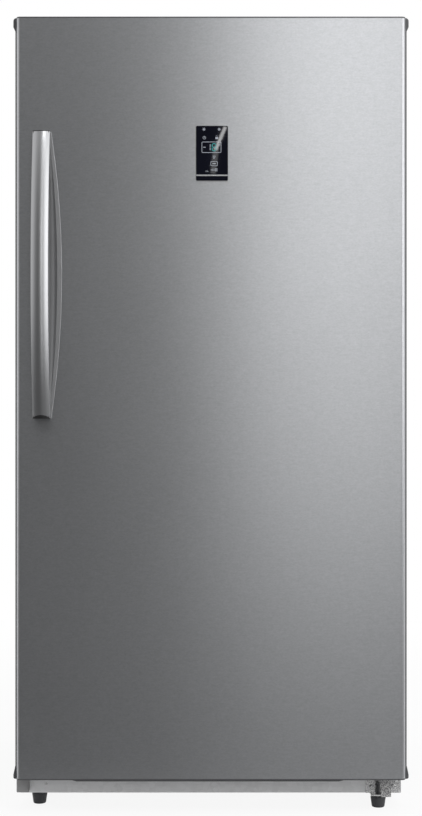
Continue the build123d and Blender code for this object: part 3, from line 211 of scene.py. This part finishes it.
def galvanised():
    """Zinc-coated sheet with its spangle and faint rolling lines."""
    zinc = Finish("galvanised", (0.79, 0.794, 0.8), 0.42, 0.35)
    spangle = zinc.cells(9 * MM, (1, 1, 1), "F1", "Color")
    grey = zinc.node("ShaderNodeRGBToBW", {}, {"Color": spangle})
    lines = zinc.noise(2 * MM, (0.05, 1, 1), 2)
    zinc.tint(grey * 0.6 + lines * 0.4, 0.88, 1.1)
    zinc.wear(grey, 0.1)
    zinc.relief(lines * 0.5 + zinc.noise(25 * MM) * 0.5, 0.06 * MM, 0.3)
    return zinc.material


def zinc_plate():
    """Bright zinc plating on pressed brackets and screws."""
    zinc = Finish("zinc_plate", (0.6, 0.6, 0.59), 0.3, 1.0)
    mottle = zinc.noise(2.5 * MM, detail=4).step(0.3, 0.7)
    zinc.put(zinc.shader.inputs["Base Color"],
             zinc.blend(mottle, (0.34, 0.34, 0.36), (0.82, 0.82, 0.8)))
    zinc.wear(mottle, 0.12)
    zinc.relief(zinc.noise(1.5 * MM, detail=3), 0.03 * MM, 0.4)
    return zinc.material


def liner_plastic():
    """White vacuum-formed sheet, glossy with slight orange peel."""
    white = Finish("liner_plastic", (0.8, 0.812, 0.825), 0.28)
    peel = white.noise(7 * MM, detail=1)
    white.tint(white.noise(120 * MM), 0.975, 1.02)
    white.wear(peel, 0.06)
    white.relief(peel, 0.15 * MM, 0.25)
    return white.material


def foam():
    """Insulating foam, skinned and pitted."""
    cream = Finish("foam", (0.8, 0.7, 0.46), 0.85)
    pits = cream.cells(3 * MM)
    cream.tint(cream.noise(30 * MM) * 0.5 + pits * 0.5, 0.85, 1.1)
    cream.wear(pits, 0.1)
    cream.relief(pits, 0.4 * MM, 0.6)
    return cream.material


def moulded(name, colour, roughness, grain=0.8, depth=0.05, coat=0.0):
    """Moulded plastic with a spark-eroded grain."""
    plastic = Finish(name, colour, roughness, Coat_Weight=coat)
    pebble = plastic.noise(grain * MM, detail=3, rough=0.6)
    plastic.tint(plastic.noise(18 * MM) * 0.5 + pebble * 0.5, 0.86, 1.14)
    plastic.wear(pebble, 0.1)
    plastic.relief(pebble, depth * MM, 0.5)
    return plastic.material


def silver_plastic():
    """Grip cup and panel rim: plastic with a metallic lacquer."""
    silver = Finish("silver_plastic", (0.34, 0.343, 0.35), 0.36, 0.6)
    flake = silver.noise(0.7 * MM, detail=2)
    silver.tint(flake, 0.85, 1.15)
    silver.wear(silver.noise(20 * MM), 0.06)
    silver.relief(flake, 0.02 * MM, 0.4)
    return silver.material


def clear_plastic():
    """Clear drawers and bins, faintly frosted by their moulding texture."""
    clear = Finish("clear_plastic", (0.92, 0.965, 0.985), 0.08, Transmission_Weight=0.93, Ior=1.49)
    flow = clear.noise(60 * MM, (1, 1, 0.35), 2)
    clear.tint(flow, 0.96, 1.04)
    clear.wear(flow, 0.08)
    clear.relief(clear.noise(14 * MM, detail=2), 0.1 * MM, 0.25)
    return clear.material


def shelf_glass():
    """Tempered shelf, greenish in its thickness."""
    glass = Finish("shelf_glass", (0.82, 0.93, 0.9), 0.03, Transmission_Weight=0.95, Ior=1.5)
    smear = glass.noise(90 * MM, (1, 0.4, 1), 3)
    glass.tint(smear, 0.98, 1.02)
    glass.wear(smear, 0.025)
    return glass.material


def panel_glass():
    """Black touch glass, printed black behind, with faint wipe marks."""
    black = Finish("panel_glass", (0.0015, 0.002, 0.007), 0.02, Specular_IOR_Level=0.3)
    wipe = black.noise(24 * MM, (1, 1, 0.3), 3)
    black.tint(wipe, 0.7, 1.3)
    black.wear(wipe, 0.008)
    return black.material


def print_ink(name, colour, glow):
    """Marks under the glass: a faint painted glow on print, the display's own light when lit."""
    ink = Finish(name, colour, 0.35, Emission_Strength=glow)
    edge = ink.noise(0.8 * MM, detail=2)
    ink.tint(edge, 0.85, 1.1)
    ink.put(ink.shader.inputs["Emission Color"],
            ink.blend(edge, tuple(0.8 * c for c in colour), colour))
    return ink.material


def black_enamel():
    """Dip-painted black steel of the compressor and coils, a little dusty in patches."""
    black = Finish("black_enamel", (0.02, 0.02, 0.021), 0.34, Coat_Weight=0.3)
    dust = black.noise(30 * MM, detail=4)
    black.put(black.shader.inputs["Base Color"],
              black.blend(dust.step(0.45, 0.8), (0.018,) * 3, (0.05, 0.048, 0.044)))
    black.wear(dust, 0.15)
    black.relief(black.noise(5 * MM), 0.1 * MM, 0.3)
    return black.material


def copper():
    """Drawn copper tube, dulled in patches."""
    tube = Finish("copper", (0.72, 0.36, 0.21), 0.28, 1.0)
    patch = tube.noise(25 * MM, detail=4)
    tube.put(tube.shader.inputs["Base Color"],
             tube.blend(patch, (0.78, 0.4, 0.25), (0.42, 0.22, 0.14)))
    tube.wear(patch, 0.15)
    return tube.material


def aluminium():
    """Bare aluminium fins and tubes."""
    bare = Finish("aluminium", (0.74, 0.75, 0.76), 0.34, 1.0)
    rolled = bare.noise(3 * MM, (0.1, 1, 1), 3)
    bare.tint(rolled, 0.9, 1.08)
    bare.wear(rolled, 0.1)
    return bare.material


def vinyl():
    """Grey gasket vinyl, soft and slightly dusty."""
    grey = Finish("vinyl", (0.28, 0.282, 0.288), 0.55)
    bloom = grey.noise(40 * MM, detail=3)
    grey.tint(bloom, 0.9, 1.1)
    grey.wear(bloom, 0.08)
    grey.relief(grey.noise(2 * MM), 0.04 * MM, 0.4)
    return grey.material


def lamp_lens():
    """Milky lens of the lit lamp in the ceiling."""
    lens = Finish("lamp_lens", (0.85, 0.86, 0.86), 0.35, Emission_Strength=4.0)
    ribs = lens.noise(5 * MM, (1, 0.1, 1), 1)
    lens.tint(ribs, 0.93, 1.05)
    lens.put(lens.shader.inputs["Emission Color"],
             lens.blend(ribs, (0.86, 0.93, 1.0), (0.95, 0.98, 1.0)))
    return lens.material


finishes = {
    "stainless": door_steel(), "shell_steel": shell_paint(), "galvanised": galvanised(),
    "zinc_plate": zinc_plate(), "liner_plastic": liner_plastic(), "foam": foam(),
    "dark_plastic": moulded("dark_plastic", (0.045, 0.046, 0.05), 0.45),
    "trim_plastic": moulded("trim_plastic", (0.1, 0.102, 0.107), 0.32, 1.2, 0.02, 0.2),
    "gasket_rubber": vinyl(), "clear_plastic": clear_plastic(), "panel_glass": panel_glass(),
    "shelf_glass": shelf_glass(),
    "white_plastic": moulded("white_plastic", (0.74, 0.75, 0.76), 0.4, 1.0, 0.03),
    "black_paint": black_enamel(), "copper": copper(), "aluminium": aluminium(),
    "rubber": moulded("black_rubber", (0.022, 0.022, 0.023), 0.65, 1.6, 0.08),
}
own_finishes = {
    "handle_bar": handle_steel(), "grip_cup": silver_plastic(),
    "rail_corner_block": moulded("corner_plastic", (0.3, 0.3, 0.302), 0.6, 2.6, 0.3),
}
own_finishes["control_panel_housing"] = own_finishes["grip_cup"]
own_finishes["door_side_trims"] = moulded("door_trim_plastic", (0.035, 0.035, 0.037), 0.45)
own_finishes["interior_light"] = lamp_lens()
own_finishes["handle_mounts"] = moulded("handle_end_plastic", (0.02, 0.02, 0.021), 0.4)
own_finishes["door_end_cap_top"] = moulded("door_cap_plastic", (0.085, 0.086, 0.09), 0.38)
own_finishes["door_end_cap_bottom"] = own_finishes["door_end_cap_top"]

for name, piece in frame["nodes"].items():
    piece.data.materials.clear()
    piece.data.materials.append(own_finishes.get(name, finishes[node_slots[name]]))


# ---------------------------------------------------------------- making pieces
def settle(shape, name, body, finish):
    """Turn a finished bmesh into a piece that rides on a body."""
    mesh = bpy.data.meshes.new(name)
    bmesh.ops.recalc_face_normals(shape, faces=shape.faces)
    shape.to_mesh(mesh)
    shape.free()
    mesh.materials.append(finish)
    piece = bpy.data.objects.new(name, mesh)
    bpy.context.scene.collection.objects.link(piece)
    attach(piece, body)
    return piece


def rounded(node, width=0.4, segments=2, angle=35):
    """A node's mesh, merged, with its sharp edges rounded so that they catch the light."""
    shape = bmesh.new()
    shape.from_mesh(frame["nodes"][node].data)
    bmesh.ops.remove_doubles(shape, verts=shape.verts, dist=0.002 * MM)
    bmesh.ops.dissolve_limit(shape, angle_limit=math.radians(0.2), verts=shape.verts,
                             edges=shape.edges)
    for face in shape.faces:
        face.smooth = True
    mesh = bpy.data.meshes.new(node + "_rounded")
    shape.to_mesh(mesh)
    shape.free()
    mesh.set_sharp_from_angle(angle=math.radians(angle))
    mesh.materials.append(frame["nodes"][node].data.materials[0])
    piece = bpy.data.objects.new(node + "_rounded", mesh)
    bpy.context.scene.collection.objects.link(piece)
    edge = piece.modifiers.new("edge", "BEVEL")
    edge.width = width * MM
    edge.segments = segments
    edge.limit_method = "ANGLE"
    edge.angle_limit = math.radians(angle)
    edge.harden_normals = True
    edge.use_clamp_overlap = True
    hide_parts(node)
    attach(piece, node_bodies[node])
    return piece


for node, width in {
    "door_side_trims": 0.5, "door_end_cap_top": 0.6, "door_end_cap_bottom": 0.6, "front_rail": 0.4,
    "lower_hinge_bracket": 0.4, "upper_hinge_bracket": 0.4, "rail_corner_block": 0.8,
    "cabinet_shell": 0.5, "handle_mounts": 0.4, "rear_cover": 0.3,
}.items():
    rounded(node, width)


# ---------------------------------------------------------------- touch panel
glass_low, glass_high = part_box("control_panel_glass")
glass_mid = (glass_low + glass_high) / 2
INK_HIGH = 0.06


def on_glass(x, z):
    """Place on the glass's face, millimetres from its middle."""
    return Matrix.Translation((glass_mid.x + x * MM, glass_low.y - INK_HIGH * MM / 2,
                               glass_mid.z + z * MM))


def flat_plate(shape, x, z, wide, high, corner, turn=0.0):
    """Flat rounded rectangle on the glass's face; its vertices."""
    made = bmesh.ops.create_grid(shape, x_segments=1, y_segments=1, size=0.5)
    flat = (on_glass(x, z) @ Matrix.Rotation(math.radians(turn), 4, "Y")
            @ Matrix.Rotation(math.radians(90), 4, "X")
            @ Matrix.Diagonal((wide * MM, high * MM, 1, 1)))
    bmesh.ops.transform(shape, matrix=flat, verts=made["verts"])
    cut = bmesh.ops.bevel(shape, geom=made["verts"], affect="VERTICES", segments=3, profile=0.5,
                          offset=corner * MM, material=-1)
    return cut["verts"]


def stroke(shape, x, z, wide, high, turn=0.0, round_share=0.45):
    """Printed stroke with rounded ends."""
    flat_plate(shape, x, z, wide, high, min(wide, high) * round_share, turn)


def thicken(shape):
    """Give flat marks the print's thickness."""
    faces = list(shape.faces)
    made = bmesh.ops.extrude_face_region(shape, geom=faces)
    verts = [item for item in made["geom"] if isinstance(item, bmesh.types.BMVert)]
    bmesh.ops.translate(shape, verts=verts, vec=(0, INK_HIGH * MM, 0))


def outline(shape, x, z, wide, high, line, corner):
    """Rounded rectangular frame of an even line."""
    rim = flat_plate(shape, x, z, wide, high, corner)
    face = rim[0].link_faces[0]
    bmesh.ops.inset_region(shape, faces=[face], thickness=line * MM, use_boundary=True,
                           use_even_offset=True)
    bmesh.ops.delete(shape, geom=[face], context="FACES")


def circle(shape, x, z, radius, line):
    """Ring."""
    outline(shape, x, z, 2 * radius, 2 * radius, line, radius * 0.98)


# Segments of a figure: x and z of the middle as shares of half its width and height; is it level
SEGMENTS = {"top": (0, 1, True), "middle": (0, 0, True), "bottom": (0, -1, True),
            "upper_left": (-1, 0.5, False), "upper_right": (1, 0.5, False),
            "lower_left": (-1, -0.5, False), "lower_right": (1, -0.5, False)}


def figure(shape, x, z, wide, high, line, left_out=()):
    """Seven-segment figure."""
    for name, (across, up, level) in SEGMENTS.items():
        if name in left_out:
            continue
        size = (wide - line, line) if level else (line, high / 2 - line * 0.7)
        stroke(shape, x + across * wide / 2, z + up * high / 2, *size)


def marks():
    """Generic pictures and keys printed on the touch glass."""
    ink = bmesh.new()
    # snowflake and fan at the top
    for turn in (0, 60, 120):
        stroke(ink, -17.0, 50.8, 7.5, 0.9, turn)
        stroke(ink, 15.5, 50.8, 6.5, 1.5, turn)
    circle(ink, -17.0, 50.8, 2.2, 0.6)
    # clock and padlock
    circle(ink, -16.0, 33.0, 3.4, 0.7)
    stroke(ink, -16.0, 34.2, 0.7, 2.6)
    stroke(ink, -15.0, 33.0, 2.2, 0.7)
    outline(ink, 10.0, 35.4, 3.6, 4.0, 0.6, 1.6)
    stroke(ink, 10.0, 32.2, 5.4, 4.0, 0, 0.15)
    # frame of the figures, the two dim ones, and the degree ring
    outline(ink, -1.0, 12.8, 41.5, 23.5, 1.1, 2.4)
    stroke(ink, -16.0, 12.8, 5.5, 1.4)
    figure(ink, -7.0, 12.8, 6.5, 14.0, 1.4, ("top", "middle", "bottom", "upper_left", "lower_left"))
    circle(ink, 15.0, 18.3, 1.8, 0.6)
    # keys below: lamp, minus key, and a bar scale
    for row in range(3):
        stroke(ink, 4.5, -6.0 - 2.4 * row, 6.5 - 1.6 * row, 1.0)
    outline(ink, 4.5, -22.0, 15.0, 9.6, 0.9, 1.8)
    stroke(ink, 4.5, -22.0, 7.5, 1.6)
    for column in range(5):
        stroke(ink, -1.5 + 3.0 * column, -35.0, 1.2, 2.5 + 1.2 * column, 0, 0.3)
    for column in range(4):
        stroke(ink, -13.0 + 1.6 * column, -38.0, 0.6, 3.0, 0, 0.3)
    thicken(ink)
    # the printed marks get a faint painted glow
    return settle(ink, "panel_marks", "door", print_ink("panel_ink", (0.3, 0.32, 0.36), 0.4))


def lit_figure():
    """The lit figure."""
    lit = bmesh.new()
    figure(lit, 4.5, 12.8, 8.0, 15.0, 1.9)
    thicken(lit)
    return settle(lit, "panel_lit_figure", "door",
                  print_ink("panel_light", (0.03, 0.26, 0.26), 0.32))


def silver_line():
    """Bright trim line across the foot of the glass."""
    line = bmesh.new()
    glass_wide = (glass_high.x - glass_low.x) / MM
    stroke(line, 0, -46.6, glass_wide - 0.6, 3.0, 0, 0.1)
    thicken(line)
    return settle(line, "panel_silver_line", "door", own_finishes["handle_bar"])


marks()
lit_figure()
silver_line()


# ---------------------------------------------------------------- back of the base
cover_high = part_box("rear_cover")[1]
# hoods and the slots under them, millimetres
HOOD_WIDE, HOOD_HIGH, HOOD_DEEP = 78.0, 6.5, 4.0
LOUVRE_STEP_X, LOUVRE_STEP_Z = 92.0, 14.0
LOUVRE_COLUMNS, LOUVRE_ROWS = 6, 14
LOUVRE_LOW = 92.5            # lowest row of slots, above the floor
HOOD_RISE = 1.5              # hood's middle above its slot's
HOOD_SLOPE = 0.8             # how far its crest leans back, share of its depth
HOOD_TAPER = 0.95            # width of its face, share of its foot
HOOD_SHEET = 0.6


def louvre_hoods():
    """Pressed hoods over the rear cover's slots, open at their lower edge."""
    hoods = bmesh.new()
    for column in range(LOUVRE_COLUMNS):
        for row in range(LOUVRE_ROWS):
            x = (column - (LOUVRE_COLUMNS - 1) / 2) * LOUVRE_STEP_X
            z = LOUVRE_LOW + row * LOUVRE_STEP_Z + HOOD_RISE
            made = bmesh.ops.create_cube(hoods, size=1.0)["verts"]
            place = (Matrix.Translation((x * MM, cover_high.y + HOOD_DEEP / 2 * MM, z * MM))
                     @ Matrix.Diagonal((HOOD_WIDE * MM, HOOD_DEEP * MM, HOOD_HIGH * MM, 1)))
            bmesh.ops.transform(hoods, matrix=place, verts=made)
            crest = [v for v in made if v.co.z > z * MM and v.co.y > cover_high.y + MM]
            bmesh.ops.translate(hoods, verts=crest, vec=(0, -HOOD_SLOPE * HOOD_DEEP * MM, 0))
            ends = [v for v in made if v.co.y > cover_high.y + MM]
            bmesh.ops.scale(hoods, verts=ends, vec=(HOOD_TAPER, 1, 1),
                            space=Matrix.Translation((-x * MM, 0, 0)))
    open_faces = [f for f in hoods.faces if f.normal.z < -0.9 or f.normal.y < -0.9]
    bmesh.ops.delete(hoods, geom=open_faces, context="FACES_ONLY")
    bmesh.ops.recalc_face_normals(hoods, faces=hoods.faces)
    bmesh.ops.solidify(hoods, geom=hoods.faces[:], thickness=HOOD_SHEET * MM)
    return settle(hoods, "rear_cover_louvres", "cabinet", finishes["galvanised"])


louvre_hoods()


# ---------------------------------------------------------------- room, lights and camera
door_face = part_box("door_skin")[0].y
PHOTO_HIGH_PX = 816
CAMERA_AWAY = 3.0
CAMERA_HIGH = 0.86
MM_PER_PX = 2.1165
SENSOR = 36.0
# the room's light on the object: towards the viewer, and what each side adds or takes
VIEWER_LEVEL, SIDES_LEVEL, BACK_DROP, RIGHT_LEVEL, CEILING_LEVEL = 0.18, 0.85, 0.6, 0.4, 0.7
# the floor, painted dark before the door: painted shade for the door's foot to mirror, which the
# camera sees white
FLOOR_GREY, MIRRORED_FLOOR_SHADE = (0.62, 0.62, 0.625), (0.07, 0.07, 0.071)
FLOOR_RADIUS = 14
SHADOW_SHARE = 0.1           # how much of the floor's own shading shows under the object


def camera():
    """Level camera square to the door, at the photograph's height and distance."""
    lens = bpy.data.cameras.new("camera")
    lens.sensor_width = SENSOR
    lens.lens = SENSOR * CAMERA_AWAY / (PHOTO_HIGH_PX * MM_PER_PX * MM)
    lens.clip_end = 60
    seen = bpy.data.objects.new("camera", lens)
    seen.location = (0, door_face - CAMERA_AWAY, CAMERA_HIGH)
    seen.rotation_euler = (math.radians(90), 0, 0)
    bpy.context.scene.collection.objects.link(seen)
    bpy.context.scene.camera = seen


def panel_light(name, at, towards, wide, high, radiance, roll=0.0):
    """Soft box of an even radiance."""
    light = bpy.data.lights.new(name, "AREA")
    light.shape = "RECTANGLE"
    light.size, light.size_y = wide, high
    light.energy = radiance * math.pi * wide * high
    lamp = bpy.data.objects.new(name, light)
    lamp.location = at
    aim = (Vector(towards) - Vector(at)).to_track_quat("-Z", "Y")
    turn = aim.to_matrix().to_4x4() @ Matrix.Rotation(math.radians(roll), 4, "Z")
    lamp.rotation_euler = turn.to_euler()
    lamp.visible_camera = False
    bpy.context.scene.collection.objects.link(lamp)


def room():
    """White room behind the object, greyer towards the viewer's side."""
    world = bpy.data.worlds.new("room")
    bpy.context.scene.world = world
    world.use_nodes = True
    air = Tree(world.node_tree)
    across, away, up = air.split(air.node("ShaderNodeTexCoord", output="Generated"))
    beside = away.step(-0.95, -0.3) * SIDES_LEVEL
    behind_it = away.step(0.1, 0.6) * BACK_DROP
    right = across.step(0.1, 0.7) * RIGHT_LEVEL
    above = up.step(0.45, 0.95) * CEILING_LEVEL
    level = VIEWER_LEVEL + beside - behind_it + right + above
    eye, mirrored = air.rays()
    behind = away.step(0.0, 0.2)
    shown = air.node("ShaderNodeMath", {"operation": "MAXIMUM"}, {
        0: eye, 1: mirrored.math("MINIMUM", mirrored, 1.0) * behind})
    background = world.node_tree.nodes["Background"]
    air.put(background.inputs["Strength"], shown + (1 - shown) * level)
    background.inputs["Color"].default_value = (1, 1, 1, 1)


def floor():
    """Pale floor that keeps a soft shadow and runs into the white room."""
    paint = Finish("floor", FLOOR_GREY, 0.7)
    x, y, z = paint.split(paint.here())
    eye, mirrored = paint.rays()
    behind = y.step(-0.34, -0.1)
    viewer_side = y.step(-0.33, -0.46)
    away = (x * x + y * y).step(0.5, 6.0)
    # before the door the floor's colour is painted shade; the camera sees white there
    paint.put(paint.shader.inputs["Base Color"],
              paint.blend(viewer_side, FLOOR_GREY, MIRRORED_FLOOR_SHADE))
    clear = away.math("MAXIMUM", away, viewer_side)
    shown = (eye + mirrored * behind) * (1 - SHADOW_SHARE + clear * SHADOW_SHARE)
    white = paint.node("ShaderNodeEmission", {}, {"Color": (1, 1, 1), "Strength": 1.0})
    ground = paint.node("ShaderNodeMixShader", {}, {
        "Fac": shown, 1: Signal(paint, paint.shader.outputs[0]), 2: white})
    paint.put(paint.nodes["Material Output"].inputs["Surface"], ground)
    shape = bmesh.new()
    bmesh.ops.create_circle(shape, cap_ends=True, segments=96, radius=FLOOR_RADIUS)
    mesh = bpy.data.meshes.new("floor")
    shape.to_mesh(mesh)
    shape.free()
    mesh.materials.append(paint.material)
    ground_piece = bpy.data.objects.new("floor", mesh)
    bpy.context.scene.collection.objects.link(ground_piece)


bpy.context.scene.view_settings.view_transform = "Standard"
camera()
room()
floor()
door_mid = (0.1, door_face, 0.9)
# the bright right half of the door is the two front boxes, mirrored in it
panel_light("front_box", (0.66, -4.1, 2.17), (0.3, door_face, 1.4), 1.1, 1.85, 1.75)
panel_light("front_low_box", (0.66, -4.1, 0.62), (0.3, door_face, 0.5), 1.1, 0.8, 1.3)
panel_light("right_box", (1.75, -1.75, 1.6), (0, door_face, 1.3), 1.7, 1.9, 1.6)
panel_light("high_box", (0.8, -2.4, 3.7), door_mid, 1.6, 1.2, 3.5)
# narrow strips that make the slanting glare on the touch glass
panel_light("upper_strip", (0.045, -4.12, 2.153), (0.0, door_face, 1.4), 0.015, 0.12, 17.0,
            roll=-24)
panel_light("lower_strip", (0.0176, -4.12, 2.05), (0.0, door_face, 1.4), 0.026, 0.13, 3.2, roll=-7)
